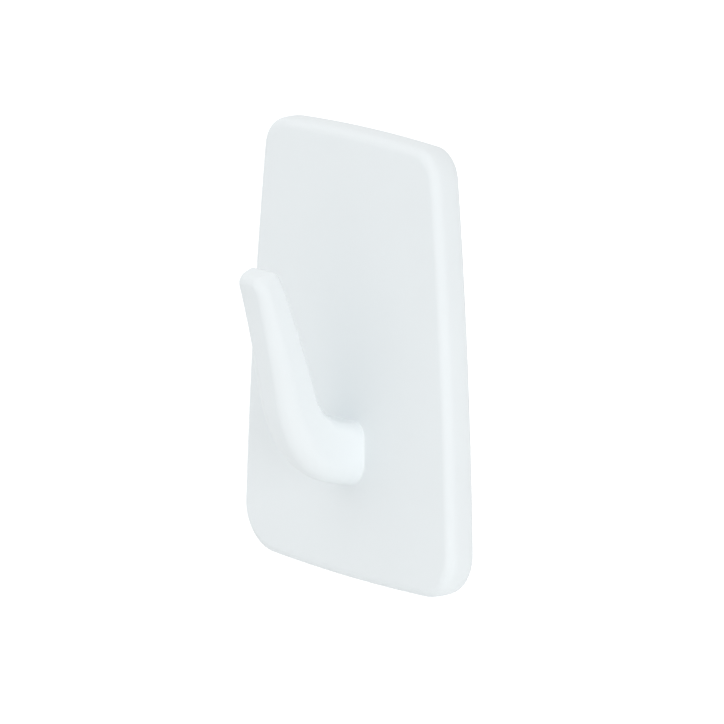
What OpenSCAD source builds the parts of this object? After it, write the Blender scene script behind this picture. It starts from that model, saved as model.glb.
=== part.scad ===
// Adhesive wall hook. A moulded cover with a J hook slides up off a base plate, and a
// stretch-release strip holds the base plate on the wall. The wall is the plane y = 0,
// the front faces -Y, and the origin is the middle of the adhesive on the wall.

/* [Strip] */
// Width of the strip
strip_w = 20; // [12:0.5:23]
// Height of the bonded stretch of the strip
strip_h = 40; // [30:0.5:42]
// Height of the pull tab below the base plate
tab_h = 10; // [6:0.5:10.5]
// Thickness of the foam core
foam_t = 0.5; // [0.3:0.05:1]
// Thickness of each adhesive layer and of the tab's film
adhesive_t = 0.15; // [0.1:0.05:0.3]

/* [Cover outline] */
// How far the cover reaches above the base plate
cover_over = 7.1; // [5:0.1:12]
// How far the cover reaches below the pull tab
cover_under = 2; // [1:0.1:8]
// How far the upper corners lie beside the base plate, before they are rounded
cover_beside = 4.4; // [3.5:0.05:10]
// How far the lower corners lie outside the upper ones
cover_flare = 4.6; // [0:0.1:8]
// How far each side bows outwards
side_bow = 0.77; // [0.2:0.01:2]
// How far the top edge bows upwards
top_bow = 0.6; // [0.2:0.01:2]
// How far the bottom edge bows downwards
bottom_bow = 0.77; // [0.2:0.01:2]
// Radius of the upper corners
top_corner_r = 4.4; // [3:0.1:7]
// Radius of the lower corners
bottom_corner_r = 6.4; // [3:0.1:9]

/* [Cover wall] */
// Thickness of the front wall
face_t = 1.8; // [1.2:0.1:3]
// Thickness of the rim
rim_t = 1.6; // [1:0.1:2]
// Radius of the rounded front edge
front_edge_r = 1.3; // [0.4:0.1:2]
// Radius of the rim's rear edge
rear_edge_r = 0.3; // [0.1:0.05:0.5]
// How far the rim draws in on its way to the front edge
rim_draft = 0.1; // [0.02:0.01:0.3]
// Gap between the rim and the wall
rim_gap = 0.3; // [0.1:0.05:0.5]

/* [Hook] */
// Depth of the hook's seat below the middle of the cover
seat_drop = 8.3; // [4:0.05:12]
// Level length of the seat before it bends up
seat_run = 1.9; // [0.5:0.1:6]
// Inner radius of the bend
bend_r = 6; // [4:0.1:12]
// Outward lean of the arm at the end of the bend, in degrees
arm_lean = 16.5; // [5:0.5:30]
// Further lean that the arm gains on its way to the tip, in degrees
arm_curl = 5; // [0:0.5:15]
// Length of the arm from the bend to the tip
arm_len = 16.8; // [8:0.1:25]
// Height of the hook where it leaves the cover
root_t = 9.5; // [6:0.1:13]
// Thickness of the hook at the end of the bend
bend_t = 5.65; // [3:0.05:8]
// Thickness of the hook at the tip
tip_t = 3.9; // [2.6:0.1:6]
// Width of the hook where it leaves the cover
root_w = 8.1; // [6:0.1:12]
// Width of the hook at the end of the bend
bend_w = 7.1; // [5:0.1:10]
// Width of the hook at the tip
tip_w = 5.9; // [5:0.1:9]
// Height of the rounded tip
tip_h = 2.5; // [1.5:0.05:4]
// How much each side of the tip draws in
tip_shoulder = 1.3; // [0.5:0.1:2]
// Radius of the edge round the tip
tip_edge_r = 1.2; // [0.3:0.05:1.8]
// Share of that radius to which the tip's edge on the cover's side is rounded
tip_inner_share = 0.8; // [0.2:0.05:1]
// Radius of the seat's edges where the hook leaves the cover
root_edge_r = 1.8; // [0.6:0.05:2.4]
// Radius of the arm's edges that face the cover
inner_edge_r = 0.9; // [0.3:0.05:1.2]
// Radius of the lower edges where the hook leaves the cover
root_outer_r = 3.7; // [0.6:0.05:4]
// Radius of the edges that face away from the cover, at the end of the bend
bend_outer_r = 2.5; // [0.6:0.05:3]
// Radius of the edges that face away from the cover, at the tip
tip_outer_r = 1.6; // [0.6:0.05:2]

/* [Base plate] */
// How far the base plate reaches above the strip
base_over = 3; // [1:0.1:6]
// How far the base plate's core reaches past each side of the strip
base_beside = 2.1; // [1:0.1:5]
// Thickness of the base plate
base_t = 1.6; // [1.2:0.1:3]
// Radius of the base plate's corners
base_corner_r = 2; // [0.5:0.1:4]
// How far each flange stands out at the side
flange_w = 1.4; // [0.8:0.1:1.8]
// Thickness of the flanges
flange_t = 0.7; // [0.4:0.1:1]
// Length of the slanted lead-in at the top of each flange
lead_in = 2.4; // [0.5:0.1:5]
// Width of the snap bump
snap_w = 8; // [3:0.5:14]
// Radius of the snap bump
snap_r = 0.6; // [0.4:0.05:1]
// How far the snap bump stands up, as a share of the running gap
snap_rise_share = 0.5; // [0.2:0.05:0.6]
// Depth of the snap bump below the top of the base plate
snap_drop = 6; // [3:0.5:20]

/* [Runners and ribs] */
// Length of the two runners that grip the flanges
runner_h = 38; // [20:1:42]
// Thickness of each runner's web
runner_t = 1.2; // [0.8:0.1:1.6]
// Thickness of each runner's lip
lip_t = 0.7; // [0.4:0.05:1]
// Thickness of the stop that rests on the base plate
stop_t = 1.6; // [1:0.1:3]
// Thickness of the stiffening ribs
rib_t = 1; // [0.6:0.1:2]
// Number of ribs beside each runner
side_rib_count = 4; // [2:1:6]
// Number of ribs above the stop
top_rib_count = 3; // [1:1:5]

/* [Fit] */
// Running gap between the cover and the base plate
slide_gap = 0.3; // [0.25:0.05:0.5]

/* [Hidden] */
$fn = 48;

// Steps along each kind of arc
edge_steps = 5;
corner_steps = 10;
side_steps = 10;
rear_edge_steps = 2;
front_edge_steps = 6;
bend_steps = 12;
arm_steps = 8;
tip_steps = 8;
hook_corner_steps = 5;

// Overrun that carries every cut past the face that it opens
overrun = 1;

// Depths, counted from the wall towards the front
strip_t = 2 * adhesive_t + foam_t;
base_front = strip_t + base_t;
flange_back = base_front - flange_t;
inner_face = base_front + slide_gap;
cover_front = inner_face + face_t;
lip_front = flange_back - slide_gap;
lip_back = lip_front - lip_t;
face_mid = inner_face + face_t / 2;

// Heights, counted from the middle of the adhesive
base_bottom = -strip_h / 2;
base_top = strip_h / 2 + base_over;
cover_bottom = base_bottom - tab_h - cover_under;
cover_top = base_top + cover_over;
cover_mid = (cover_bottom + cover_top) / 2;
half_h = (cover_top - cover_bottom) / 2;
seat_z = cover_mid - seat_drop;
snap_z = base_top - snap_drop;

// Widths of the base plate and the cover, and half widths of the lips and the webs
base_core_w = strip_w + 2 * base_beside;
base_w = base_core_w + 2 * flange_w;
plate_top_w = base_w + 2 * cover_beside;
plate_bottom_w = plate_top_w + 2 * cover_flare;
lip_x = base_core_w / 2 + slide_gap;
web_x = base_w / 2 + slide_gap;
web_out_x = web_x + runner_t;

snap_rise = slide_gap * snap_rise_share;

// The cover's outline: four wide arcs, joined by four tangent corner arcs
function bow_r(half, bow) = (half * half + bow * bow) / (2 * bow);
function angle_of(v) = atan2(v[1], v[0]);
function meet(c1, r1, c2, r2, turn) =
    let (d = c2 - c1, l = norm(d))
    let (a = (r1 * r1 - r2 * r2 + l * l) / (2 * l))
    let (h = sqrt(r1 * r1 - a * a))
    c1 + a * d / l + turn * h * [-d[1], d[0]] / l;
low_point = [plate_bottom_w / 2, -half_h];
high_point = [plate_top_w / 2, half_h];
side_line = high_point - low_point;
side_chord = norm(side_line);
side_inward = [-side_line[1], side_line[0]] / side_chord;
top_r = bow_r(plate_top_w / 2, top_bow);
bottom_r = bow_r(plate_bottom_w / 2, bottom_bow);
side_r = bow_r(side_chord / 2, side_bow);
top_c = [0, half_h - top_r];
bottom_c = [0, bottom_r - half_h];
side_c = (low_point + high_point) / 2 + side_inward * (side_r - side_bow);
low_c = meet(bottom_c, bottom_r - bottom_corner_r, side_c, side_r - bottom_corner_r, 1);
high_c = meet(top_c, top_r - top_corner_r, side_c, side_r - top_corner_r, -1);
low_start = angle_of(low_c - bottom_c);
low_end = angle_of(low_c - side_c);
high_start = angle_of(high_c - side_c);
high_end = angle_of(high_c - top_c);

function arc(c, r, a0, a1, steps) =
    [for (i = [0:steps - 1]) let (a = a0 + (a1 - a0) * i / steps) c + r * [cos(a), sin(a)]];

// Every arc keeps its centre, so an inset only shortens the radii
function right_half(inset) = concat(
    arc(bottom_c, bottom_r - inset, -90, low_start, edge_steps),
    arc(low_c, bottom_corner_r - inset, low_start, low_end, corner_steps),
    arc(side_c, side_r - inset, low_end, high_start, side_steps),
    arc(high_c, top_corner_r - inset, high_start, high_end, corner_steps),
    arc(top_c, top_r - inset, high_end, 90, edge_steps),
    [[0, half_h - inset]]);
function outline(inset) =
    let (right = right_half(inset))
    let (left = [for (i = [len(right) - 2:-1:1]) [-right[i][0], right[i][1]]])
    concat(right, left);

// Rings of the cover's outside, from the rear edge of the rim to its front face
function cover_ring(depth, inset) =
    [for (p = outline(inset)) [p[0], -depth, p[1] + cover_mid]];
cover_rings = concat(
    [for (i = [0:rear_edge_steps])
        let (a = 90 - 90 * i / rear_edge_steps)
        cover_ring(rim_gap + rear_edge_r * (1 - sin(a)), rear_edge_r * (1 - cos(a)))],
    [for (i = [0:front_edge_steps])
        let (a = 90 * i / front_edge_steps)
        cover_ring(cover_front - front_edge_r * (1 - sin(a)), rim_draft + front_edge_r * (1 - cos(a)))]);

// The hook: a section with round inner and outer corners, led along the inner profile
edge_limit_share = 0.48;
bend_end = 90 - arm_lean;
seat_end = cover_front + seat_run;
grip_len = seat_run + bend_r * bend_end * PI / 180;
function blend(a, b, share) = a + (b - a) * share;
function ease(share) = share * share * (3 - 2 * share);
function grip_share(s) = s / grip_len;
function arm_share(s) = (s - grip_len) / arm_len;
function hook_w(s) =
    s < grip_len ? blend(root_w, bend_w, grip_share(s)) : blend(bend_w, tip_w, arm_share(s));
function hook_t(s) =
    s < grip_len ? blend(root_t, bend_t, ease(grip_share(s))) : blend(bend_t, tip_t, arm_share(s));
function hook_edge_r(s) =
    s < grip_len ? blend(root_edge_r, inner_edge_r, grip_share(s)) : inner_edge_r;
function hook_outer_r(s) =
    s < grip_len
        ? blend(root_outer_r, bend_outer_r, grip_share(s))
        : blend(bend_outer_r, tip_outer_r, arm_share(s));
function corner(x, y, r, a0) =
    [for (i = [0:hook_corner_steps])
        let (a = a0 + 90 * i / hook_corner_steps)
        [x + r * cos(a), y + r * sin(a)]];
function section(w, t, edge_r, outer_r) =
    let (limit = edge_limit_share * min(w, t))
    let (ri = min(edge_r, limit))
    let (ro = min(outer_r, limit))
    concat(
        corner(w / 2 - ro, ro - t, ro, -90),
        corner(w / 2 - ri, -ri, ri, 0),
        corner(ri - w / 2, -ri, ri, 90),
        corner(ro - w / 2, ro - t, ro, 180));
// A ring stands square to the profile: its top lies on the profile, sunk by the given amount
function hook_ring(out, up, a, w, t, edge_r, outer_r, sink) =
    [for (p = section(w, t, edge_r, outer_r))
        let (m = p[1] - sink)
        [p[0], -(out - m * sin(a)), up + m * cos(a)]];
function arm_point(share) =
    let (a = bend_end - arm_curl * share / 2)
    [seat_end + bend_r * sin(bend_end) + arm_len * share * cos(a),
     seat_z + bend_r * (1 - cos(bend_end)) + arm_len * share * sin(a)];
tip_round = min(tip_edge_r, edge_limit_share * tip_t, tip_h);
function tip_sink(rise) =
    let (over = max(rise - tip_h + tip_round, 0))
    tip_round - sqrt(max(tip_round * tip_round - over * over, 0));
tip_lean = bend_end - arm_curl;
tip_start = arm_point(1);
hook_rings = concat(
    [for (s = [-face_t / 2, 0])
        hook_ring(cover_front + s, seat_z, 0, root_w, root_t, root_edge_r, root_outer_r, 0)],
    [for (i = [0:bend_steps])
        let (a = bend_end * i / bend_steps, s = seat_run + bend_r * a * PI / 180)
        hook_ring(
            seat_end + bend_r * sin(a), seat_z + bend_r * (1 - cos(a)), a,
            hook_w(s), hook_t(s), hook_edge_r(s), hook_outer_r(s), 0)],
    [for (i = [1:arm_steps])
        let (share = i / arm_steps, p = arm_point(share), s = grip_len + arm_len * share)
        hook_ring(
            p[0], p[1], bend_end - arm_curl * share,
            hook_w(s), hook_t(s), inner_edge_r, hook_outer_r(s), 0)],
    [for (i = [1:tip_steps])
        let (a = 90 * i / tip_steps, rise = tip_h * sin(a), sink = tip_sink(rise))
        hook_ring(
            tip_start[0] + rise * cos(tip_lean), tip_start[1] + rise * sin(tip_lean), tip_lean,
            tip_w - 2 * tip_shoulder * (1 - cos(a)), tip_t - (1 + tip_inner_share) * sink,
            inner_edge_r, tip_outer_r, tip_inner_share * sink)]);

// Joins rings of equally many points into one closed skin
module skin(rings) {
    n = len(rings[0]);
    last = (len(rings) - 1) * n;
    sides = [
        for (k = [0:len(rings) - 2], i = [0:n - 1])
            let (a = k * n + i, b = k * n + (i + 1) % n)
            each [[a, a + n, b + n], [a, b + n, b]]];
    near_cap = [[for (i = [0:n - 1]) i]];
    far_cap = [[for (i = [n - 1:-1:0]) last + i]];
    polyhedron([for (r = rings) each r], concat(near_cap, sides, far_cap));
}

// A flat shape in the plane of the wall, given thickness between two depths
module layer(from, to) {
    translate([0, -from, 0])
        rotate([90, 0, 0])
            linear_extrude(to - from)
                children();
}

// A block given by its two corners across and up, between two depths
module block(x0, x1, z0, z1, from, to) {
    translate([x0, -to, z0])
        cube([x1 - x0, to - from, z1 - z0]);
}

// A flat plate with four round corners
module rounded(w, z0, z1, r) {
    translate([-w / 2, z0 + r])
        square([w, z1 - z0 - 2 * r]);
    translate([r - w / 2, z0])
        square([w - 2 * r, z1 - z0]);
    for (x = [r - w / 2, w / 2 - r], z = [z0 + r, z1 - r])
        translate([x, z])
            circle(r);
}

// A round bar across the middle, at the place of the snap bump
module snap_bar(w, r) {
    translate([-w / 2, snap_r - base_front - snap_rise, snap_z])
        rotate([0, 90, 0])
            cylinder(h = w, r = r);
}

// One runner: a web beside the base plate and a lip behind its flange
module runner() {
    block(web_x, web_out_x, base_top - runner_h, base_top + stop_t, lip_back, face_mid);
    block(lip_x, web_out_x, base_top - runner_h, base_top, lip_back, lip_front);
}

// Stiffening ribs, from each runner to the rim and from the stop to the top of the rim
module ribs() {
    pitch = runner_h / side_rib_count;
    for (i = [0:side_rib_count - 1]) {
        z = base_top - runner_h + pitch * (i + 1 / 2) - rib_t / 2;
        block(web_out_x - runner_t / 2, plate_bottom_w, z, z + rib_t, lip_back, face_mid);
        block(-plate_bottom_w, runner_t / 2 - web_out_x, z, z + rib_t, lip_back, face_mid);
    }
    step = 2 * web_x / (top_rib_count + 1);
    for (i = [1:top_rib_count]) {
        x = -web_x + step * i - rib_t / 2;
        block(x, x + rib_t, base_top + stop_t / 2, cover_top, lip_back, face_mid);
    }
}

// The part that shows: a shell with an open back and an open lower edge, and the hook
module hook_cover() {
    color([0.93, 0.95, 0.95]) {
        difference() {
            union() {
                skin(cover_rings);
                skin(hook_rings);
            }
            layer(rim_gap - overrun, inner_face)
                translate([0, cover_mid])
                    polygon(outline(rim_t));
            block(-web_x, web_x, cover_bottom - overrun, cover_bottom + rim_t + overrun,
                rim_gap - overrun, inner_face);
            snap_bar(snap_w + 2 * slide_gap, snap_r + slide_gap);
        }
        runner();
        mirror([1, 0, 0])
            runner();
        block(-web_out_x, web_out_x, base_top, base_top + stop_t, lip_back, face_mid);
        intersection() {
            ribs();
            layer(rim_gap, face_mid)
                translate([0, cover_mid])
                    polygon(outline(rim_t / 2));
        }
    }
}

// The plate that stays on the wall, with a flange along each side and a snap bump
module base_plate() {
    half = base_w / 2;
    color([0.88, 0.89, 0.9]) {
        layer(strip_t, base_front)
            rounded(base_core_w, base_bottom, base_top, base_corner_r);
        layer(flange_back, base_front)
            intersection() {
                rounded(base_w, base_bottom, base_top, base_corner_r);
                polygon([
                    [-half, base_bottom],
                    [half, base_bottom],
                    [half, base_top - lead_in],
                    [half - flange_w, base_top],
                    [flange_w - half, base_top],
                    [-half, base_top - lead_in]]);
            }
        snap_bar(snap_w, snap_r);
    }
}

// The adhesive layer on the base plate
module plate_adhesive() {
    color([0.9, 0.88, 0.78])
        block(-strip_w / 2, strip_w / 2, base_bottom, base_bottom + strip_h, strip_t - adhesive_t, strip_t);
}

// The foam core, which runs on down into the pull tab
module foam_carrier() {
    color([0.96, 0.96, 0.94])
        block(-strip_w / 2, strip_w / 2, base_bottom - tab_h + adhesive_t, base_bottom + strip_h,
            adhesive_t, strip_t - adhesive_t);
}

// The adhesive layer on the wall
module wall_adhesive() {
    color([0.9, 0.88, 0.78])
        block(-strip_w / 2, strip_w / 2, base_bottom, base_bottom + strip_h, 0, adhesive_t);
}

// The film folded round the lower end of the foam
module pull_tab() {
    color([0.72, 0.76, 0.8])
        difference() {
            block(-strip_w / 2, strip_w / 2, base_bottom - tab_h, base_bottom, 0, strip_t);
            block(-strip_w / 2 - overrun, strip_w / 2 + overrun, base_bottom - tab_h + adhesive_t,
                base_bottom + overrun, adhesive_t, strip_t - adhesive_t);
        }
}

hook_cover();
base_plate();
plate_adhesive();
foam_carrier();
wall_adhesive();
pull_tab();
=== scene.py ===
"""Looks of an adhesive wall hook: a moulded cover with a J hook, its base plate and its strip.

The wall is the plane y = 0, the front faces -Y and Z points up the wall. Sizes are in millimetres,
and each finished mesh is brought to metres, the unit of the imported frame.
"""

import logging
from collections.abc import Callable
from dataclasses import dataclass
from enum import Enum
from math import atan2, cos, pi, radians, sin, sqrt

import bmesh
import bpy
from bmesh.types import BMEdge, BMesh, BMFace, BMVert
from bpy.types import Material, Node, NodeSocket, NodeTree, Object
from mathutils import Matrix, Vector
from mathutils.geometry import intersect_sphere_sphere_2d


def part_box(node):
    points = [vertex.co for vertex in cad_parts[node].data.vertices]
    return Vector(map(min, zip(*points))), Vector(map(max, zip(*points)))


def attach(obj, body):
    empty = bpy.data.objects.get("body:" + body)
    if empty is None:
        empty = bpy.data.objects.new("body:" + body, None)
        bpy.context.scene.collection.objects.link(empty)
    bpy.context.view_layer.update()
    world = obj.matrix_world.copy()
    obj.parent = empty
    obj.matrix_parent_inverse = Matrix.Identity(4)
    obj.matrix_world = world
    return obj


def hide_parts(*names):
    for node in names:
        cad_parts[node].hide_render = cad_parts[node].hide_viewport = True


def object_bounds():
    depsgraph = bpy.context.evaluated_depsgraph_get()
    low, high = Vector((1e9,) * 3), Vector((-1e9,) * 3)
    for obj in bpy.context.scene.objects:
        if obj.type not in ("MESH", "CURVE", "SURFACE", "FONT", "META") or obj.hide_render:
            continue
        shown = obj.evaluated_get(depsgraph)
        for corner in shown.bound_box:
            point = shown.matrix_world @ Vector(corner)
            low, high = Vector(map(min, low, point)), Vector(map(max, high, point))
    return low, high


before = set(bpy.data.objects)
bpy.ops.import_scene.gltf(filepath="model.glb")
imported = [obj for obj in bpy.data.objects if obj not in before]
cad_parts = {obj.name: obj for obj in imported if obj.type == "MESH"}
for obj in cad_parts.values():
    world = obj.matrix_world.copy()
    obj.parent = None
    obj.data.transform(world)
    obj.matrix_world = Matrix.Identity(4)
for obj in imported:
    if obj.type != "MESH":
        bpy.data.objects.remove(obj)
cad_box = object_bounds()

LOG = logging.getLogger("wall_hook")
MM = 0.001
QUARTER = pi / 2
ACROSS_WALL = (0.0, -1.0, 0.0)
# Distance within which two vertices are one
NEAR = 1e-4
# How far a solid is set in from one that it joins, so that no two of their faces coincide
STEP_IN = 0.03
# Faces across a round corner, across a slightly softened edge and round a bar
CORNER_STEPS = 10
EDGE_STEPS = 2
BAR_STEPS = 48
# Sockets of the colour Mix node, by number because their names repeat for each type of data
MIX_SHARE, MIX_FIRST, MIX_SECOND, MIX_RESULT = 0, 6, 7, 2


class Body(Enum):
    """The CAD bodies that the pieces ride on."""

    WALL_SIDE = "wall_side"
    COVER = "cover"


class Slot(Enum):
    """The record's material slots."""

    COVER = "cover"
    BASE = "base"
    ADHESIVE = "adhesive"
    FOAM = "foam"
    TAB = "tab"


class Blend(Enum):
    """How one solid is combined with another."""

    JOIN = "UNION"
    CUT = "DIFFERENCE"


def box_mm(node: str) -> tuple[Vector, Vector]:
    """Gives the lowest and highest corner of a CAD node's box, in millimetres."""
    low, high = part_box(node)
    return low / MM, high / MM


def between(near: float, far: float, share: float) -> float:
    """Gives the value at a share of the way from one value to another."""
    return near + (far - near) * share


def ease(share: float) -> float:
    """Gives a share that starts and ends gently."""
    return share * share * (3 - 2 * share)


def linear(code: str) -> tuple[float, float, float, float]:
    """Turns an sRGB hex colour to linear values.

    Args:
        code: Six hex digits after a hash sign.

    Returns:
        Linear red, green and blue, and an alpha of 1.
    """
    parts = [int(code[i:i + 2], 16) / 255 for i in (1, 3, 5)]
    red, green, blue = [c / 12.92 if c <= 0.04045 else ((c + 0.055) / 1.055) ** 2.4 for c in parts]
    return red, green, blue, 1.0


def per_metre(size: float) -> float:
    """Gives the texture scale whose features have a size in millimetres."""
    return 1.0 / (size * MM)


def add_node(tree: NodeTree, kind: str, inputs: dict | None = None, **options: str | bool) -> Node:
    """Adds one node with its settings and links.

    Args:
        tree: The node tree.
        kind: The node's type.
        inputs: Input sockets by name or number, each with a value or the output that feeds it.
        options: Properties of the node and their values.

    Returns:
        The new node.
    """
    node = tree.nodes.new(kind)
    for key, value in options.items():
        setattr(node, key, value)
    for key, value in (inputs or {}).items():
        if isinstance(value, NodeSocket):
            tree.links.new(value, node.inputs[key])
        else:
            node.inputs[key].default_value = value
    return node


def new_material(name: str) -> tuple[Material, NodeTree]:
    """Starts an empty node material.

    Args:
        name: The material's name.

    Returns:
        The material and its node tree.
    """
    material = bpy.data.materials.new(name)
    material.use_nodes = True
    material.node_tree.nodes.clear()
    return material, material.node_tree


@dataclass(frozen=True)
class Finish:
    """The base of the finishes: an opaque body of two tones, with a gloss and a fine relief.

    Attributes:
        name: The real material and how it was made.
        tones: The two colours that its pattern runs between.
        roughness: Its least and greatest roughness.
        depth: Depth of its relief.
        ior: Its refractive index.
    """

    name: str
    tones: tuple[str, str]
    roughness: tuple[float, float]
    depth: float
    ior: float

    def _patterns(self, tree: NodeTree, place: NodeSocket) -> list[NodeSocket]:
        """Gives the outputs that run its tone, its roughness and its relief, each from 0 to 1."""
        raise NotImplementedError

    def material(self) -> Material:
        """Makes the finish.

        Returns:
            Its node material.
        """
        material, tree = new_material(self.name)
        place = add_node(tree, "ShaderNodeTexCoord").outputs["Object"]
        tone, gloss, relief = self._patterns(tree, place)
        first, second = map(linear, self.tones)
        mixed = add_node(tree, "ShaderNodeMix",
                         {MIX_SHARE: tone, MIX_FIRST: first, MIX_SECOND: second}, data_type="RGBA")
        rough, most = self.roughness
        if rough < most:
            rough = add_node(tree, "ShaderNodeMapRange",
                             {"Value": gloss, "To Min": rough, "To Max": most}).outputs["Result"]
        bump = add_node(tree, "ShaderNodeBump",
                        {"Strength": 1.0, "Distance": self.depth * MM, "Height": relief})
        shader = add_node(tree, "ShaderNodeBsdfPrincipled",
                          {"Base Color": mixed.outputs[MIX_RESULT], "Roughness": rough,
                           "IOR": self.ior, "Normal": bump.outputs["Normal"]})
        add_node(tree, "ShaderNodeOutputMaterial", {"Surface": shader.outputs["BSDF"]})
        return material


@dataclass(frozen=True)
class MouldedPlastic(Finish):
    """Injection-moulded ABS: an even, opaque body with a satin skin.

    The mould's fine spark-eroded grain breaks the reflections up, so highlights are wide and soft,
    and the flow of the melt leaves very faint, wide clouds of tone.
    """

    depth: float = 0.002
    ior: float = 1.53
    # Sizes and details of the clouds, of the patches of gloss and of the grain. The real grain is
    # about 0.05 mm, too fine to show, so it is drawn as coarse as a pixel or two
    noises: tuple = ((14.0, 2.0), (2.5, 3.0), (0.3, 2.0))

    def _patterns(self, tree: NodeTree, place: NodeSocket) -> list[NodeSocket]:
        """Gives noises for the clouds, the patches of gloss and the grain."""
        made = [add_node(tree, "ShaderNodeTexNoise",
                         {"Vector": place, "Scale": per_metre(size), "Detail": detail})
                for size, detail in self.noises]
        return [noise.outputs["Fac"] for noise in made]


@dataclass(frozen=True)
class ClosedCellFoam(Finish):
    """Extruded polyethylene foam: white and dull, with fine closed cells that catch the light."""

    depth: float = 0.03
    ior: float = 1.5
    # The real cells are about 0.1 mm, so they are drawn a little coarser to show
    cell_size: float = 0.28

    def _patterns(self, tree: NodeTree, place: NodeSocket) -> list[NodeSocket]:
        """Gives the cells, which run all three."""
        cells = add_node(tree, "ShaderNodeTexVoronoi",
                         {"Vector": place, "Scale": per_metre(self.cell_size)})
        return [cells.outputs["Distance"]] * 3


@dataclass(frozen=True)
class DrawnLayer(Finish):
    """A thin layer drawn out along the strip, with streaks of tone, gloss and height along it."""

    depth: float = 0.004
    ior: float = 1.5
    streak_size: float = 1.6
    streak_stretch: float = 6.0
    streak_detail: float = 4.0

    def _patterns(self, tree: NodeTree, place: NodeSocket) -> list[NodeSocket]:
        """Gives the streaks, which run all three."""
        drawn = add_node(tree, "ShaderNodeMapping",
                         {"Vector": place, "Scale": (1.0, 1.0, 1.0 / self.streak_stretch)})
        return [add_node(tree, "ShaderNodeTexNoise",
                         {"Vector": drawn.outputs["Vector"], "Detail": self.streak_detail,
                          "Scale": per_metre(self.streak_size)}).outputs["Fac"]] * 3


COVER_PLASTIC = MouldedPlastic("satin_moulded_white_abs", ("#E7ECEE", "#EAEFF1"), (0.5, 0.58))
BASE_PLASTIC = MouldedPlastic("matt_moulded_pale_grey_abs", ("#DCE1E4", "#E2E6E8"), (0.5, 0.6),
                              depth=0.004)
FOAM = ClosedCellFoam("closed_cell_polyethylene_foam", ("#E3E3DD", "#F4F4F0"), (0.85, 0.85))
# Synthetic rubber, cream and glossy, with soft streaks from the coating roller
ADHESIVE = DrawnLayer("roller_coated_rubber_adhesive", ("#EDEBDF", "#E9E6D9"), (0.22, 0.3))
# Polyester film, thin, matt and pale, with faint draw lines along the pull
TAB_FILM = DrawnLayer("cast_matt_polyester_film", ("#BFC9D1", "#C8D1D8"), (0.42, 0.55), ior=1.58,
                      streak_size=0.4, streak_stretch=12.0, streak_detail=2.0)


def new_object(name: str, data: bpy.types.ID) -> Object:
    """Puts a new object in the scene, at the origin.

    Args:
        name: The object's name.
        data: Its mesh, lamp or camera.

    Returns:
        The object.
    """
    made = bpy.data.objects.new(name, data)
    bpy.context.scene.collection.objects.link(made)
    return made


def to_object(bm: BMesh, name: str) -> Object:
    """Turns a bmesh into an object at the origin.

    Args:
        bm: The finished bmesh, which is freed.
        name: The object's name.

    Returns:
        The new object, its mesh still in millimetres.
    """
    bmesh.ops.remove_doubles(bm, verts=bm.verts, dist=NEAR)
    bmesh.ops.recalc_face_normals(bm, faces=bm.faces)
    mesh = bpy.data.meshes.new(name)
    bm.to_mesh(mesh)
    bm.free()
    return new_object(name, mesh)


def verts_of(made: dict) -> list:
    """Gives the vertices among what a bmesh operator made."""
    return [item for item in made["geom"] if isinstance(item, BMVert)]


def draw_out(bm: BMesh, way: tuple) -> None:
    """Draws the flat faces of a bmesh out to a solid.

    Args:
        bm: The bmesh.
        way: How far, and in which direction.
    """
    grown = bmesh.ops.extrude_face_region(bm, geom=bm.faces[:])
    bmesh.ops.translate(bm, vec=way, verts=verts_of(grown))
    bmesh.ops.recalc_face_normals(bm, faces=bm.faces)


def foremost(bm: BMesh) -> BMFace:
    """Gives the face that lies furthest to the front."""
    return min(bm.faces, key=lambda face: face.calc_center_median().y)


def rearmost(bm: BMesh) -> BMFace:
    """Gives the face that lies nearest to the wall."""
    return max(bm.faces, key=lambda face: face.calc_center_median().y)


def soften(bm: BMesh, edges: list, radius: float, segments: int) -> None:
    """Rounds edges by a radius, with a number of faces across each."""
    bmesh.ops.bevel(bm, geom=edges, offset=radius, offset_type="OFFSET", segments=segments,
                    profile=0.5, affect="EDGES", material=-1, clamp_overlap=True)


def square(bm: BMesh, place: Matrix) -> list:
    """Draws a square with sides of 1, put in place by a matrix, and gives its corners."""
    return bmesh.ops.create_grid(bm, x_segments=1, y_segments=1, size=0.5, matrix=place)["verts"]


def round_corners(bm: BMesh, corners: list, radius: float) -> list:
    """Rounds corners of a flat face, and gives the vertices that take their place."""
    return bmesh.ops.bevel(bm, geom=corners, offset=radius, offset_type="OFFSET",
                           segments=CORNER_STEPS, profile=0.5, affect="VERTICES",
                           material=-1)["verts"]


def block(low: tuple, high: tuple, edge_r: float) -> Object:
    """Makes a block with softened edges.

    Args:
        low: Its lowest corner.
        high: Its highest corner.
        edge_r: Radius of its edges, or 0 for sharp ones.

    Returns:
        The block.
    """
    near, far = Vector(low), Vector(high)
    bm = bmesh.new()
    bmesh.ops.create_cube(bm, size=1.0)
    bmesh.ops.scale(bm, vec=far - near, verts=bm.verts)
    bmesh.ops.translate(bm, vec=(near + far) / 2, verts=bm.verts)
    if edge_r:
        soften(bm, bm.edges[:], edge_r, EDGE_STEPS)
    return to_object(bm, "block")


def combine(piece: Object, tools: list, how: Blend) -> None:
    """Combines a piece with other solids, which are then removed.

    Args:
        piece: The piece that changes.
        tools: The other solids.
        how: Whether they are joined on or cut out.
    """
    for tool in tools:
        step = piece.modifiers.new(how.name.lower(), "BOOLEAN")
        step.operation, step.solver, step.object = how.value, "MANIFOLD", tool
    graph = bpy.context.evaluated_depsgraph_get()
    solid = bpy.data.meshes.new_from_object(piece.evaluated_get(graph))
    piece.modifiers.clear()
    old, piece.data = piece.data, solid
    solid.name = piece.name
    bpy.data.meshes.remove(old)
    for tool in tools:
        bpy.data.meshes.remove(tool.data)


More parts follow.
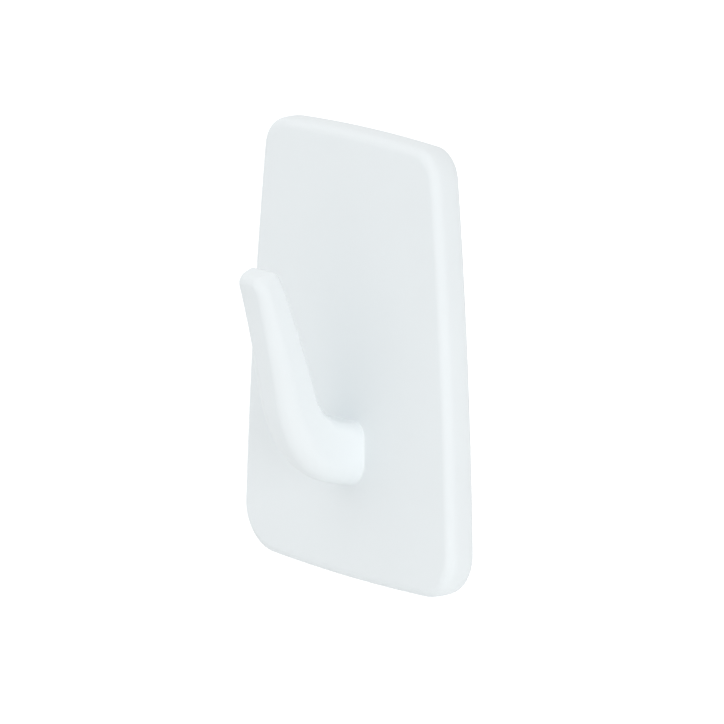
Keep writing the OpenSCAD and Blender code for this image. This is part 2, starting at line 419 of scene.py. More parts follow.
def settle(piece: Object, sharp_deg: float = 40.0) -> None:
    """Brings a finished mesh to metres and gives it smooth shading with true flats.

    Args:
        piece: The finished piece, in millimetres.
        sharp_deg: Angle between two faces past which their edge stays sharp.
    """
    mesh = piece.data
    mesh.transform(Matrix.Scale(MM, 4))
    mesh.shade_smooth()
    mesh.set_sharp_from_angle(angle=radians(sharp_deg))
    flats = piece.modifiers.new("flats", "WEIGHTED_NORMAL")
    flats.keep_sharp = True
    mesh.update()


def enlist(piece: Object, body: Body, node: str, material: Material) -> None:
    """Gives a piece its finish and its place on the frame.

    Args:
        piece: The finished piece.
        body: The CAD body that it rides on.
        node: The CAD node that it stands for.
        material: Its finish.
    """
    piece.data.materials.clear()
    piece.data.materials.append(material)
    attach(piece, body.value)
    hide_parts(node)
    LOG.info("%s: %d faces, rides on %s, finish %s", piece.name, len(piece.data.polygons),
             body.value, material.name)


@dataclass(frozen=True)
class PlateSizes:
    """Sizes that the base plate shares with the cover that slides on it.

    The snap bump is a round bar across the plate, sunk in its front until only its rise shows.
    """

    thickness: float = 1.6
    flange_w: float = 1.4
    flange_t: float = 0.7
    snap_w: float = 8.0
    snap_r: float = 0.6
    snap_rise: float = 0.15
    snap_drop: float = 6.0

    def snap_bar(self, front: float, top: float, grow: float = 0.0) -> BMesh:
        """Makes the bar of the snap bump.

        Args:
            front: Depth of the plate's front.
            top: Height of the plate's upper end.
            grow: How far the bar is grown on all sides.

        Returns:
            A bmesh that holds the bar.
        """
        bm = bmesh.new()
        place = (Matrix.Translation((0, self.snap_r - front - self.snap_rise, top - self.snap_drop))
                 @ Matrix.Rotation(QUARTER, 4, "Y"))
        radius = self.snap_r + grow
        bmesh.ops.create_cone(bm, cap_ends=True, segments=BAR_STEPS, radius1=radius, radius2=radius,
                              depth=self.snap_w + 2 * grow, matrix=place)
        return bm


PLATE = PlateSizes()


@dataclass(frozen=True)
class Arc:
    """One arc of the cover's outline.

    Attributes:
        centre: Its centre, across and up.
        radius: Its radius.
        turn: Angle that it turns through.
        steps: Number of edges along it.
    """

    centre: Vector
    radius: float
    turn: float
    steps: int


@dataclass(frozen=True)
class Section:
    """One cross-section of the hook, square to the profile that its upper side follows.

    Attributes:
        out: Distance from the wall of its upper edge.
        up: Height of its upper edge.
        turn: Angle of the profile above level.
        width: Its width.
        thickness: Its thickness.
        inner_r: Radius of its upper corners.
        outer_r: Radius of its lower corners.
    """

    out: float
    up: float
    turn: float
    width: float
    thickness: float
    inner_r: float
    outer_r: float


@dataclass
class HookCover:
    """The moulded cover: a bowed, tapered shell with a J hook, and runners, a stop and ribs inside.

    Attributes:
        plate_high: Highest corner of the base plate that it slides on.
        tab_bottom: Height of the pull tab's lower end.
    """

    plate_high: Vector
    tab_bottom: float
    slide_gap: float = 0.3
    over: float = 7.1
    under: float = 2.0
    beside: float = 4.4
    flare: float = 4.6
    side_bow: float = 0.77
    top_bow: float = 0.6
    bottom_bow: float = 0.77
    top_corner_r: float = 4.4
    bottom_corner_r: float = 6.4
    # Edges along each side arc, each corner, and half of the top and bottom arcs
    side_steps: int = 32
    corner_steps: int = 24
    end_steps: int = 16
    face_t: float = 1.8
    rim_t: float = 1.6
    rim_gap: float = 0.3
    # Shares of the rim's depth, from the rear, and how far the outline is tucked in there
    rim_crown: tuple = ((0.0, 0.08), (0.22, -0.03), (0.45, -0.05), (1.0, 0.1))
    front_edge_r: float = 1.3
    front_edge_steps: int = 10
    rear_edge_r: float = 0.3
    rear_edge_steps: int = 4
    mouth_edge_r: float = 0.15
    floor_edge_r: float = 0.35
    floor_edge_steps: int = 3
    flat_margin: float = 0.2
    cut_margin: float = 1.0
    seat_drop: float = 8.3
    seat_run: float = 1.9
    bend_r: float = 6.0
    arm_lean_deg: float = 16.5
    arm_curl_deg: float = 5.0
    arm_len: float = 16.8
    root_t: float = 9.5
    bend_t: float = 5.65
    tip_t: float = 3.9
    root_w: float = 8.1
    bend_w: float = 7.1
    tip_w: float = 5.9
    tip_h: float = 2.5
    tip_shoulder: float = 1.3
    tip_edge_r: float = 1.2
    tip_inner_share: float = 0.8
    root_edge_r: float = 2.1
    inner_edge_r: float = 0.35
    # The arm's inner face is set back, so that its crisp edges keep the contour of round ones
    inner_relief: float = 0.27
    # The seat falls to the cover's face along a short run, and the bend's inside is lifted
    seat_fall: float = 0.5
    fall_run: float = 4.0
    bend_lift: float = 0.12
    root_outer_r: float = 3.7
    bend_outer_r: float = 2.5
    tip_outer_r: float = 1.6
    edge_limit_share: float = 0.48
    root_fillet_r: float = 0.3
    runner_h: float = 38.0
    runner_t: float = 1.2
    lip_t: float = 0.7
    stop_t: float = 1.6
    rib_t: float = 1.0
    side_rib_count: int = 4
    top_rib_count: int = 3
    web_edge_r: float = 0.12
    sharp_deg: float = 35.0

    def __post_init__(self) -> None:
        """Works out the depths, heights and widths that follow from the driving sizes."""
        self.plate_top = self.plate_high.z
        self.plate_front = -self.plate_high.y + PLATE.thickness
        self.inner_face = self.plate_front + self.slide_gap
        self.front = self.inner_face + self.face_t
        self.face_mid = self.inner_face + self.face_t / 2
        self.lip_front = self.plate_front - PLATE.flange_t - self.slide_gap
        self.lip_back = self.lip_front - self.lip_t
        top = self.plate_top + self.over
        self.bottom = self.tab_bottom - self.under
        self.mid = (top + self.bottom) / 2
        self.half_h = (top - self.bottom) / 2
        plate_half = self.plate_high.x
        self.half_top_w = plate_half + self.beside
        self.half_bottom_w = self.half_top_w + self.flare
        self.lip_x = plate_half - PLATE.flange_w + self.slide_gap
        self.web_x = plate_half + self.slide_gap
        self.web_out_x = self.web_x + self.runner_t
        self.seat_z = self.mid - self.seat_drop
        self.bend_end = QUARTER - radians(self.arm_lean_deg)
        self.grip_len = self.seat_run + self.bend_r * self.bend_end
        self.arcs = self._arcs()
        _, _, self.side_arc, _, self.top_arc = self.arcs

    def _arcs(self) -> list[Arc]:
        """Finds the arcs of the outline's right half, from the bottom's middle to the top's.

        Returns:
            Half the bottom arc, the lower corner, the side, the upper corner and half the top arc.
        """
        low = Vector((self.half_bottom_w, -self.half_h))
        high = Vector((self.half_top_w, self.half_h))
        chord = high - low
        inward = Vector((-chord.y, chord.x)).normalized()

        def bow_r(half: float, bow: float) -> float:
            """Gives the radius of an arc from half its chord and its bow."""
            return (half * half + bow * bow) / (2 * bow)

        def angle(to: Vector, centre: Vector) -> float:
            """Gives the direction of a point seen from a centre."""
            return atan2(to.y - centre.y, to.x - centre.x)

        def corner_c(radius: float, end_c: Vector, end_r: float, pick: Callable) -> Vector:
            """Gives the centre of the corner between the side arc and an end arc."""
            return pick(intersect_sphere_sphere_2d(end_c, end_r - radius, side_c, side_r - radius),
                        key=lambda point: point.y)

        top_r = bow_r(self.half_top_w, self.top_bow)
        bottom_r = bow_r(self.half_bottom_w, self.bottom_bow)
        side_r = bow_r(chord.length / 2, self.side_bow)
        top_c, bottom_c = Vector((0, self.half_h - top_r)), Vector((0, bottom_r - self.half_h))
        side_c = (low + high) / 2 + inward * (side_r - self.side_bow)
        low_c = corner_c(self.bottom_corner_r, bottom_c, bottom_r, min)
        high_c = corner_c(self.top_corner_r, top_c, top_r, max)
        low_start, low_end = angle(low_c, bottom_c), angle(low_c, side_c)
        high_start, high_end = angle(high_c, side_c), angle(high_c, top_c)
        return [
            Arc(bottom_c, bottom_r, low_start + QUARTER, self.end_steps),
            Arc(low_c, self.bottom_corner_r, low_end - low_start, self.corner_steps),
            Arc(side_c, side_r, high_start - low_end, self.side_steps),
            Arc(high_c, self.top_corner_r, high_end - high_start, self.corner_steps),
            Arc(top_c, top_r, QUARTER - high_end, self.end_steps)]

    def _at(self, across: float, depth: float, up: float) -> Vector:
        """Gives the point at a place across, a depth and a height above the middle."""
        return Vector((across, -depth, up + self.mid))

    def _side_x(self, height: float) -> float:
        """Gives the half width of the outline at a height, on its side arc."""
        centre, rise = self.side_arc.centre, height - self.mid - self.side_arc.centre.y
        return centre.x + sqrt(self.side_arc.radius ** 2 - rise ** 2)

    def _top_z(self, across: float) -> float:
        """Gives the height of the outline at a place across, on its top arc."""
        top = self.top_arc
        return self.mid + top.centre.y + sqrt(top.radius ** 2 - across ** 2)

    def _solid(self, bm: BMesh) -> list:
        """Makes the cover's outside as a full solid, with an opening in front for the hook.

        Args:
            bm: The bmesh that it is made in.

        Returns:
            The edges of the opening.
        """
        tip = bm.verts.new(self._at(0.0, self.rim_gap, -self.half_h))
        for arc in self.arcs:
            centre = self._at(arc.centre.x, self.rim_gap, arc.centre.y)
            tip = bmesh.ops.spin(bm, geom=[tip], cent=centre, axis=ACROSS_WALL, angle=arc.turn,
                                 steps=arc.steps)["geom_last"][0]
        bmesh.ops.mirror(bm, geom=bm.verts[:] + bm.edges[:], axis="X", merge_dist=NEAR)
        ring, half = bm.edges[:], Vector((self.half_bottom_w, 1, self.half_h))
        depth, inset = self.rim_gap, Vector()
        for share, tuck in self.rim_crown:
            if share:
                grown = bmesh.ops.extrude_edge_only(bm, edges=ring)["geom"]
                ring = [item for item in grown
                        if isinstance(item, BMEdge) and len(item.link_faces) == 1]
            else:
                bmesh.ops.contextual_create(bm, geom=ring)
            verts = list({vert for edge in ring for vert in edge.verts})
            ahead = self.rim_gap + share * (self.front - self.rim_gap)
            now = Vector((tuck, 0, tuck))
            slim = Vector([(h - n) / (h - i) for h, n, i in zip(half, now, inset)])
            bmesh.ops.translate(bm, vec=(0, depth - ahead, 0), verts=verts)
            bmesh.ops.scale(bm, vec=slim, verts=verts, space=Matrix.Translation((0, 0, -self.mid)))
            depth, inset = ahead, now
        bmesh.ops.contextual_create(bm, geom=ring)
        bmesh.ops.recalc_face_normals(bm, faces=bm.faces)
        soften(bm, foremost(bm).edges[:], self.front_edge_r, self.front_edge_steps)
        soften(bm, rearmost(bm).edges[:], self.rear_edge_r, self.rear_edge_steps)
        face = foremost(bm)
        bmesh.ops.inset_region(bm, faces=[face], thickness=self.flat_margin, use_even_offset=True)
        opening = face.edges[:]
        bmesh.ops.delete(bm, geom=[face], context="FACES_ONLY")
        return opening

    def _size(self, along: float) -> tuple[float, float, float, float, float]:
        """Gives the size of the hook's section at a length along its profile.

        Args:
            along: Length along the profile from the cover's face.

        Returns:
            Its width, its thickness, how far its upper side is set back, and the radii of its upper
            and lower edges.
        """
        if along < self.grip_len:
            share = along / self.grip_len
            fall = self.seat_fall * max(1 - along / self.fall_run, 0.0) ** 2
            # The lift is greatest half way along
            relief = (fall + self.inner_relief * ease(max(2 * share - 1, 0.0))
                      - self.bend_lift * 4 * share * (1 - share))
            return (between(self.root_w, self.bend_w, share),
                    between(self.root_t, self.bend_t, ease(share)), relief,
                    between(self.root_edge_r, self.inner_edge_r, share),
                    between(self.root_outer_r, self.bend_outer_r, share))
        share = (along - self.grip_len) / self.arm_len
        return (between(self.bend_w, self.tip_w, share), between(self.bend_t, self.tip_t, share),
                self.inner_relief, self.inner_edge_r,
                between(self.bend_outer_r, self.tip_outer_r, share))

    def _section(self, out: float, up: float, turn: float, size: tuple,
                 grow: float = 0.0) -> Section:
        """Gives one cross-section of the hook.

        Args:
            out: Distance from the wall of its upper edge.
            up: Height of its upper edge.
            turn: Angle of the profile above level.
            size: Its size, as _size gives it.
            grow: How far it is grown on all sides.

        Returns:
            The section.
        """
        width, thickness, relief, *radii = size
        limit = self.edge_limit_share * min(width, thickness)
        inner_r, outer_r = (min(radius, limit) + grow for radius in radii)
        rise = grow - relief
        return Section(out - rise * sin(turn), up + rise * cos(turn), turn,
                       width + 2 * grow, thickness + grow + rise, inner_r, outer_r)

    def _sections(self) -> list[Section]:
        """Follows the hook's profile.

        Returns:
            Its sections, from the fillet on the cover's face to the end of the tip.
        """
        fillet_steps, seat_steps, bend_steps, arm_steps, tip_steps = 5, 3, 30, 18, 14
        fillet_r, seat_end = self.root_fillet_r, self.front + self.seat_run
        made = []

        def add(out: float, up: float, turn: float, along: float, grow: float = 0.0) -> None:
            """Adds the section at a length along the profile."""
            made.append(self._section(out, up, turn, self._size(along), grow))

        for k in range(fillet_steps + 1):
            a = QUARTER * k / fillet_steps
            along = fillet_r * (1 - cos(a))
            add(self.front + along, self.seat_z, 0.0, along, fillet_r * (1 - sin(a)))
        for k in range(1, seat_steps):
            along = fillet_r + (self.seat_run - fillet_r) * k / seat_steps
            add(self.front + along, self.seat_z, 0.0, along)
        for k in range(bend_steps + 1):
            a = self.bend_end * k / bend_steps
            add(seat_end + self.bend_r * sin(a), self.seat_z + self.bend_r * (1 - cos(a)),
                a, self.seat_run + self.bend_r * a)
        curl = radians(self.arm_curl_deg)
        bend_out = seat_end + self.bend_r * sin(self.bend_end)
        bend_up = self.seat_z + self.bend_r * (1 - cos(self.bend_end))
        for k in range(1, arm_steps + 1):
            share = k / arm_steps
            heading = self.bend_end - curl * share / 2
            add(bend_out + self.arm_len * share * cos(heading),
                bend_up + self.arm_len * share * sin(heading),
                self.bend_end - curl * share, self.grip_len + self.arm_len * share)
        end = made[-1]
        for k in range(1, tip_steps + 1):
            a = QUARTER * k / tip_steps
            rise = self.tip_h * sin(a)
            over = max(rise - self.tip_h + self.tip_edge_r, 0.0)
            sink = self.tip_edge_r - sqrt(max(self.tip_edge_r ** 2 - over ** 2, 0.0))
            inner = self.tip_inner_share * sink
            made.append(self._section(
                end.out + rise * cos(end.turn) + inner * sin(end.turn),
                end.up + rise * sin(end.turn) - inner * cos(end.turn), end.turn,
                (self.tip_w - 2 * self.tip_shoulder * (1 - cos(a)),
                 end.thickness - sink - inner, 0.0, self.inner_edge_r, self.tip_outer_r)))
        return made

    def _ring(self, bm: BMesh, section: Section) -> list:
        """Draws one section of the hook as a closed loop of edges.

        Args:
            bm: The bmesh that it is drawn in.
            section: The section.

        Returns:
            The loop's edges.
        """
        place = (Matrix.Translation((0, -section.out, section.up))
                 @ Matrix.Rotation(QUARTER - section.turn, 4, "X")
                 @ Matrix.Translation((0, -section.thickness / 2, 0))
                 @ Matrix.Diagonal((section.width, section.thickness, 1, 1)))
        corners = square(bm, place)
        round_corners(bm, corners[:2], section.outer_r)
        face = round_corners(bm, corners[2:], section.inner_r)[0].link_faces[0]
        edges = face.edges[:]
        bmesh.ops.delete(bm, geom=[face], context="FACES_ONLY")
        return edges

    def _hook(self, bm: BMesh, opening: list) -> None:
        """Lofts the hook out of the opening in the cover's face.

        Args:
            bm: The bmesh that holds the cover.
            opening: The edges of the opening.
        """
        foot, *rest = self._sections()
        last = self._ring(bm, foot)
        bmesh.ops.triangle_fill(bm, edges=opening + last, use_beauty=True, normal=ACROSS_WALL)
        for section in rest:
            ring = self._ring(bm, section)
            bmesh.ops.bridge_loops(bm, edges=last + ring)
            last = ring
        bmesh.ops.contextual_create(bm, geom=last)

    def _hollow(self, bm: BMesh) -> None:
        """Hollows the cover from the back, down to its front wall.

        Args:
            bm: The bmesh that holds the cover.
        """
        back = rearmost(bm)
        bmesh.ops.inset_region(bm, faces=[back], thickness=self.rim_t - self.rear_edge_r,
                               use_even_offset=True)
        mouth = back.edges[:]
        sunk = bmesh.ops.extrude_face_region(bm, geom=[back])
        bmesh.ops.delete(bm, geom=[back], context="FACES_ONLY")
        bmesh.ops.translate(bm, vec=(0, self.rim_gap - self.inner_face, 0), verts=verts_of(sunk))
        rims = [item for item in sunk["geom"] if isinstance(item, BMEdge)]
        soften(bm, rims, self.floor_edge_r, self.floor_edge_steps)
        soften(bm, [edge for edge in mouth if edge.is_valid], self.mouth_edge_r, EDGE_STEPS)

    def _openings(self) -> list[Object]:
        """Makes the solids that are cut out.

        Returns:
            The open lower edge and the groove of the snap bump.
        """
        margin = self.cut_margin
        notch = block((-self.web_x, -self.inner_face - STEP_IN, self.bottom - margin),
                      (self.web_x, margin, self.bottom + self.rim_t + margin), 0.0)
        groove = PLATE.snap_bar(self.plate_front, self.plate_top, self.slide_gap)
        return [notch, to_object(groove, "groove")]

    def _runner(self, side: int) -> Object:
        """Makes one runner: a web beside the plate, with a lip behind its flange, led up.

        Args:
            side: 1 for the right, -1 for the left.

        Returns:
            The runner.
        """
        bm = bmesh.new()
        foot = self.plate_top - self.runner_h
        section = ((self.web_out_x, self.face_mid), (self.web_out_x, self.lip_back),
                   (self.lip_x, self.lip_back), (self.lip_x, self.lip_front),
                   (self.web_x, self.lip_front), (self.web_x, self.face_mid))
        bm.faces.new([bm.verts.new((side * x, -depth, foot)) for x, depth in section])
        draw_out(bm, (0, 0, self.runner_h + self.stop_t / 2))
        soften(bm, bm.edges[:], self.web_edge_r, EDGE_STEPS)
        return to_object(bm, "runner")

    def _webs(self) -> list[Object]:
        """Makes the solids that are joined to the inside, each set in from what it runs into.

        Returns:
            The runners, the stop, the side ribs and the top ribs.
        """
        made = [self._runner(-1), self._runner(1)]
        stop_x, stop_back = self.web_out_x - STEP_IN, self.lip_back + STEP_IN
        rib_back, half_rib = stop_back + STEP_IN, self.rib_t / 2

        def web(x: tuple[float, float], z: tuple[float, float], back: float) -> None:
            """Adds a web between two places across and two heights, back to a depth."""
            made.append(block((x[0], -self.face_mid, z[0]), (x[1], -back, z[1]), self.web_edge_r))

        web((-stop_x, stop_x), (self.plate_top, self.plate_top + self.stop_t), stop_back)
        pitch = self.runner_h / self.side_rib_count
        for k in range(self.side_rib_count):
            z = self.plate_top - self.runner_h + pitch * (k + 0.5)
            near, far = self.web_out_x - self.runner_t / 2, self._side_x(z) - self.rim_t / 2
            for x in ((-far, -near), (near, far)):
                web(x, (z - half_rib, z + half_rib), rib_back)
        step = 2 * self.web_x / (self.top_rib_count + 1)
        for k in range(self.top_rib_count):
            x = -self.web_x + step * (k + 1)
            web((x - half_rib, x + half_rib),
                (self.plate_top + self.stop_t / 2, self._top_z(x) - self.rim_t / 2), rib_back)
        return made

    def build(self) -> Object:
        """Builds the cover.

        Returns:
            One closed moulding.
        """
        bm = bmesh.new()
        opening = self._solid(bm)
        self._hollow(bm)
        self._hook(bm, opening)
        cover = to_object(bm, "hook_cover_moulding")
        combine(cover, self._openings(), Blend.CUT)
        combine(cover, self._webs(), Blend.JOIN)
        settle(cover, self.sharp_deg)
        return cover

    def dress(self, cover: Object) -> None:
        """Gives the cover its finish and its body."""
        enlist(cover, Body.COVER, "hook_cover", COVER_PLASTIC.material())


@dataclass
class BasePlate:
    """The plate that stays on the wall: a core, a flange along each side and a snap bump.

    Attributes:
        low: Lowest corner of its box.
        high: Highest corner of its box.
    """

    low: Vector
    high: Vector
    corner_r: float = 2.0
    lead_in: float = 2.4
    edge_r: float = 0.15
    edge_steps: int = 3
    bump_edge_r: float = 0.3
    bump_edge_steps: int = 4
    # Turn between two faces of the bump that only the edges of its ends have
    bump_end_deg: float = 60.0

    def __post_init__(self) -> None:
        """Works out the depths that follow from the box."""
        self.back = -self.high.y
        self.front = self.back + PLATE.thickness

    def _slab(self, half_w: float, depth: tuple, shorter: float, lead_in: bool) -> Object:
        """Makes one layer of the plate, with round corners and softened edges.

        Args:
            half_w: Half its width.
            depth: Depths of its rear and front faces.
            shorter: How far its ends stop short of the plate's.
            lead_in: Whether the upper corners are cut off at a slant.

        Returns:
            The layer.
        """
        bm = bmesh.new()
        mid, height = (self.low.z + self.high.z) / 2, self.high.z - self.low.z - 2 * shorter
        place = (Matrix.Translation((0, -depth[0], mid)) @ Matrix.Rotation(QUARTER, 4, "X")
                 @ Matrix.Diagonal((2 * half_w, height, 1, 1)))
        round_corners(bm, square(bm, place), self.corner_r)
        if lead_in:
            for side in (-1, 1):
                bmesh.ops.bisect_plane(bm, geom=bm.verts[:] + bm.edges[:] + bm.faces[:],
                                       plane_co=(side * half_w, 0, self.high.z - self.lead_in),
                                       plane_no=(side * self.lead_in, 0, PLATE.flange_w),
                                       clear_outer=True)
        draw_out(bm, (0, depth[0] - depth[1], 0))
        soften(bm, [*foremost(bm).edges, *rearmost(bm).edges], self.edge_r, self.edge_steps)
        return to_object(bm, "base_plate_moulding")

    def _bump(self) -> Object:
        """Makes the snap bump.

        Returns:
            A round bar across the plate, with softened ends.
        """
        bm = PLATE.snap_bar(self.front, self.high.z)
        least = radians(self.bump_end_deg)
        ends = [edge for edge in bm.edges if edge.calc_face_angle() > least]
        soften(bm, ends, self.bump_edge_r, self.bump_edge_steps)
        return to_object(bm, "bump")

    def build(self) -> Object:
        """Builds the plate.

        Returns:
            One closed moulding.
        """
        half_w = self.high.x
        plate = self._slab(half_w, (self.front - PLATE.flange_t, self.front), 0.0, True)
        core = self._slab(half_w - PLATE.flange_w, (self.back, self.front - PLATE.flange_t / 2),
                          STEP_IN, False)
        combine(plate, [core, self._bump()], Blend.JOIN)
        settle(plate)
        return plate

    def dress(self, plate: Object) -> None:
        """Gives the plate its finish and its body."""
        enlist(plate, Body.WALL_SIDE, "base_plate", BASE_PLASTIC.material())


@dataclass
class StretchStrip:
    """The stretch-release strip: foam between adhesive layers, with a film tab round its end.

    Attributes:
        tab_low: Lowest corner of the tab's box.
        tab_high: Highest corner of the tab's box.
        strip_top: Height of the strip's upper end.
    """

    tab_low: Vector
    tab_high: Vector
    strip_top: float
    layer_t: float = 0.15
    cut_edge_r: float = 0.05
    fold_steps: int = 16

    def __post_init__(self) -> None:
        """Works out the sizes that follow from the tab's box."""
        self.half_w = self.tab_high.x
        self.thickness = self.tab_high.y - self.tab_low.y
        self.tab_top = self.tab_high.z
        self.fold_z = self.tab_low.z + self.thickness / 2

    def _sheet(self, name: str, low_z: float, depth: tuple, edge_r: float) -> Object:
        """Makes one die-cut layer of the strip, with softened edges.

        Args:
            name: The piece's name.
            low_z: Height of its lower end.
            depth: Depths of its two faces.
            edge_r: Radius of its edges.

        Returns:
            The layer.
        """
        layer = block((-self.half_w, -depth[1], low_z), (self.half_w, -depth[0], self.strip_top),
                      edge_r)
        layer.name = layer.data.name = name
        return layer

    def _tab(self) -> Object:
        """Makes the tab.

        Returns:
            A film led down the front, round the foam's end and up the back.
        """
        bm = bmesh.new()
        middle = -self.thickness / 2
        fold_r = (self.thickness - self.layer_t) / 2
        start = bm.verts.new((-self.half_w, middle - fold_r, self.tab_top))
        down = bmesh.ops.extrude_vert_indiv(bm, verts=[start])["verts"]
        bmesh.ops.translate(bm, vec=(0, 0, self.fold_z - self.tab_top), verts=down)
        turn = bmesh.ops.spin(bm, geom=down, cent=(-self.half_w, middle, self.fold_z),
                              axis=(1, 0, 0), angle=pi, steps=self.fold_steps)["geom_last"]
        back = bmesh.ops.extrude_vert_indiv(bm, verts=turn)["verts"]
        bmesh.ops.translate(bm, vec=(0, 0, self.tab_top - self.fold_z), verts=back)
        wide = bmesh.ops.extrude_edge_only(bm, edges=bm.edges[:])
        bmesh.ops.translate(bm, vec=(2 * self.half_w, 0, 0), verts=verts_of(wide))
        bmesh.ops.recalc_face_normals(bm, faces=bm.faces)
        bmesh.ops.solidify(bm, geom=bm.faces[:], thickness=self.layer_t)
        return to_object(bm, "pull_tab_film")

    def build(self) -> list[Object]:
        """Builds the strip's pieces.

        Returns:
            The adhesive on the wall, the foam, whose lower end lies in the fold of the tab, the
            adhesive on the base plate, and the tab.
        """
        foam_front = self.thickness - self.layer_t
        pieces = [
            self._sheet("wall_adhesive_layer", self.tab_top, (0.0, self.layer_t), self.cut_edge_r),
            self._sheet("foam_core", self.fold_z, (self.layer_t, foam_front), self.layer_t),
            self._sheet("plate_adhesive_layer", self.tab_top, (foam_front, self.thickness),
                        self.cut_edge_r),
            self._tab()]
        for piece in pieces:
            settle(piece)
        return pieces

    def dress(self, pieces: list[Object]) -> None:
        """Gives the strip's pieces their finishes and their body.

        Args:
            pieces: The pieces that build gave.
        """
        wall_layer, foam, plate_layer, tab = pieces
        tack = ADHESIVE.material()
        enlist(wall_layer, Body.WALL_SIDE, "wall_adhesive", tack)
        enlist(foam, Body.WALL_SIDE, "foam_carrier", FOAM.material())
        enlist(plate_layer, Body.WALL_SIDE, "plate_adhesive", tack)
        enlist(tab, Body.WALL_SIDE, "pull_tab", TAB_FILM.material())


def direction(azimuth: float, elevation: float) -> Vector:
    """Gives the unit vector at degrees round from the front to the right and above level."""
    a, e = radians(azimuth), radians(elevation)
    return Vector((sin(a) * cos(e), -cos(a) * cos(e), sin(e)))


@dataclass(frozen=True)
class Light:
    """The base of the lights, which are aimed at the object.

    Attributes:
        azimuth: Its direction round the object, in degrees from straight in front to the right.
        elevation: Its direction above level, in degrees.
        level: Its brightness, where 1 is white.
    """

    azimuth: float
    elevation: float
    level: float


@dataclass(frozen=True)
class SoftBox(Light):
    """A soft lamp.

    Attributes:
        name: Its name.
        size: Side of its square, in metres.
        distance: Its distance from the object, in metres.
    """

    name: str = "side_lamp"
    size: float = 0.5
    distance: float = 1.0

    def place(self) -> None:
        """Puts the lamp in the scene, aimed at the object."""
        lamp = bpy.data.lights.new(self.name, "AREA")
        lamp.shape, lamp.size = "SQUARE", self.size
        lamp.energy = self.level * (pi * self.distance) ** 2
        holder = new_object(self.name, lamp)
        # Its mirror image would wipe out satin edges that it strikes at a glance, so none shows
        holder.visible_glossy = False
        back = direction(self.azimuth, self.elevation)
        holder.location = back * self.distance
        holder.rotation_euler = (-back).to_track_quat("-Z", "Y").to_euler()


@dataclass(frozen=True)
class TentPanel(Light):
    """One lit panel of the light tent round the object, which fades from its middle outwards.

    Attributes:
        fade: How steeply it fades, as a power of the cosine from its middle.
    """

    fade: float = 3.0

    def strength(self, tree: NodeTree, towards: NodeSocket) -> NodeSocket:
        """Gives the panel's brightness in each direction.

        Args:
            tree: The world's node tree.
            towards: The output that gives the direction.

        Returns:
            The output that gives the brightness.
        """
        middle = direction(self.azimuth, self.elevation)
        share = add_node(tree, "ShaderNodeVectorMath", {0: towards, 1: middle},
                         operation="DOT_PRODUCT").outputs["Value"]
        for operation, value in (("MAXIMUM", 0.0), ("POWER", self.fade), ("MULTIPLY", self.level)):
            share = add_node(tree, "ShaderNodeMath", {0: share, 1: value},
                             operation=operation).outputs[0]
        return share


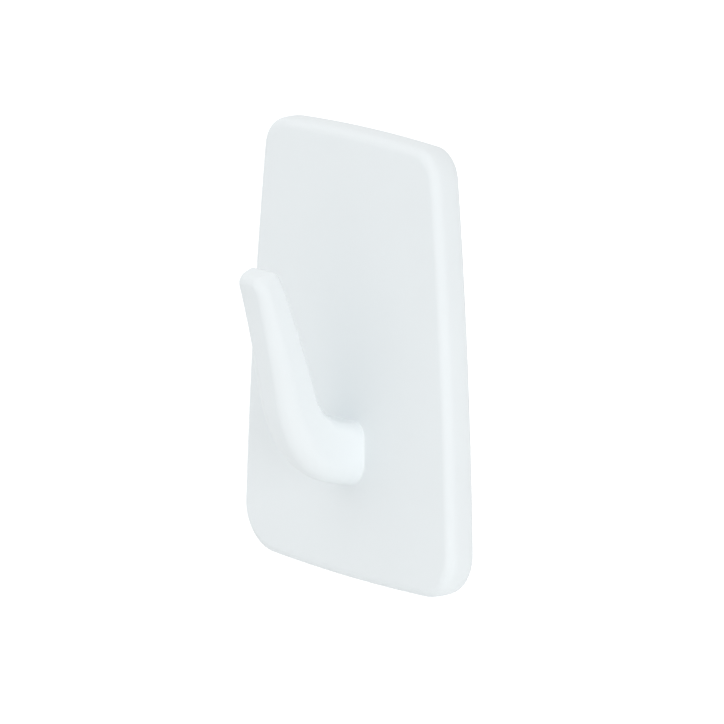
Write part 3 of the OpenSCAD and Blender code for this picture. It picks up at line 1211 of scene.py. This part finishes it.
@dataclass
class Studio:
    """The stage: a pale floor, a light tent, a side lamp and the camera.

    Attributes:
        low_z: Height of the object's lowest point, in metres.
    """

    low_z: float
    floor_drop: float = 0.13
    floor_size: float = 3.0
    floor_colour: str = "#E9EAEA"
    # Lift that takes the lit floor to white where it is the background, and leaves shadows on it
    floor_lift: float = 0.45
    # The tent's left, front, top and rear panels; the lamp stands where the right one would
    panels: tuple[TentPanel, ...] = (
        TentPanel(-100.0, 10.0, 0.9), TentPanel(-14.0, 26.0, 0.96, fade=1.0),
        TentPanel(0.0, 90.0, 0.85), TentPanel(180.0, 20.0, 0.7))
    side_lamp: SoftBox = SoftBox(77.0, 5.0, 0.4)
    light_colour: str = "#FFFFFF"
    azimuth: float = 50.3
    elevation: float = 12.26
    roll: float = 0.456
    distance: float = 1151.4
    lens: float = 421.5
    sensor: float = 36.0
    aim: tuple[float, float, float] = (0.0, -0.3, -1.0)
    framing: tuple[float, float] = (-1.042, -1.319)

    def __post_init__(self) -> None:
        """Works out the height of the floor."""
        self.floor_z = self.low_z - self.floor_drop

    def _seen(self, tree: NodeTree) -> NodeSocket:
        """Gives the output that is 1 for rays that show the background.

        Args:
            tree: The node tree.

        Returns:
            The sum of the camera, glossy and transmission rays.
        """
        path = add_node(tree, "ShaderNodeLightPath").outputs
        total = path["Is Camera Ray"]
        for kind in ("Is Glossy Ray", "Is Transmission Ray"):
            total = add_node(tree, "ShaderNodeMath", {0: total, 1: path[kind]}, operation="ADD",
                             use_clamp=True).outputs[0]
        return total

    def lay_floor(self) -> None:
        """Lays the floor: matt painted board, lifted to white where it is the background."""
        bm = bmesh.new()
        square(bm, Matrix.Translation((0, 0, self.floor_z / MM))
               @ Matrix.Scale(self.floor_size / MM, 4))
        floor = to_object(bm, "floor")
        floor.data.transform(Matrix.Scale(MM, 4))
        material, tree = new_material("matt_painted_board")
        paint = add_node(tree, "ShaderNodeBsdfDiffuse", {"Color": linear(self.floor_colour)})
        lift = add_node(tree, "ShaderNodeMath", {0: self._seen(tree), 1: self.floor_lift},
                        operation="MULTIPLY")
        glow = add_node(tree, "ShaderNodeEmission", {"Strength": lift.outputs[0]})
        both = add_node(tree, "ShaderNodeAddShader", {0: paint.outputs[0], 1: glow.outputs[0]})
        add_node(tree, "ShaderNodeOutputMaterial", {"Surface": both.outputs[0]})
        floor.data.materials.append(material)

    def set_world(self) -> None:
        """Sets the world: the panels' light, and plain white where it is the background."""
        world = bpy.data.worlds.new("light_tent")
        bpy.context.scene.world = world
        world.use_nodes = True
        tree = world.node_tree
        tree.nodes.clear()
        towards = add_node(tree, "ShaderNodeTexCoord").outputs["Generated"]
        total, *rest = [panel.strength(tree, towards) for panel in self.panels]
        for glow in rest:
            total = add_node(tree, "ShaderNodeMath", {0: total, 1: glow},
                             operation="ADD").outputs[0]
        tent, sheet = [
            add_node(tree, "ShaderNodeBackground",
                     {"Color": linear(self.light_colour), "Strength": strength}).outputs[0]
            for strength in (total, 1.0)]
        both = add_node(tree, "ShaderNodeMixShader", {0: self._seen(tree), 1: tent, 2: sheet})
        add_node(tree, "ShaderNodeOutputWorld", {"Surface": both.outputs[0]})

    def set_camera(self) -> None:
        """Sets the camera at the photograph's angle."""
        lens = bpy.data.cameras.new("camera")
        lens.lens, lens.sensor_width = self.lens, self.sensor
        camera = bpy.context.scene.camera = new_object("camera", lens)
        back = direction(self.azimuth, self.elevation)
        level_right = Vector((0, 0, 1)).cross(back).normalized()
        level_up = back.cross(level_right)
        tilt = radians(self.roll)
        right = level_right * cos(tilt) + level_up * sin(tilt)
        up = level_up * cos(tilt) - level_right * sin(tilt)
        place = (Vector(self.aim) + back * self.distance
                 + right * self.framing[0] + up * self.framing[1])
        pose = Matrix((right, up, back)).transposed().to_4x4()
        camera.matrix_world = Matrix.Translation(place * MM) @ pose

    def set_up(self) -> None:
        """Sets up the whole stage."""
        self.lay_floor()
        self.set_world()
        self.side_lamp.place()
        self.set_camera()
        bpy.context.scene.view_settings.view_transform = "Standard"
        LOG.info("stage: floor at %.3f m, camera at azimuth %.1f", self.floor_z, self.azimuth)


def main() -> None:
    """Builds and dresses the cover, the base plate and the strip, and sets the stage."""
    logging.basicConfig(level=logging.INFO, format="%(message)s")
    plate_low, plate_high = box_mm("base_plate")
    tab_low, tab_high = box_mm("pull_tab")
    cover = HookCover(plate_high, tab_low.z)
    cover.dress(cover.build())
    plate = BasePlate(plate_low, plate_high)
    plate.dress(plate.build())
    strip = StretchStrip(tab_low, tab_high, box_mm("foam_carrier")[1].z)
    strip.dress(strip.build())
    Studio(cad_box[0].z).set_up()


if __name__ == "__main__":
    main()
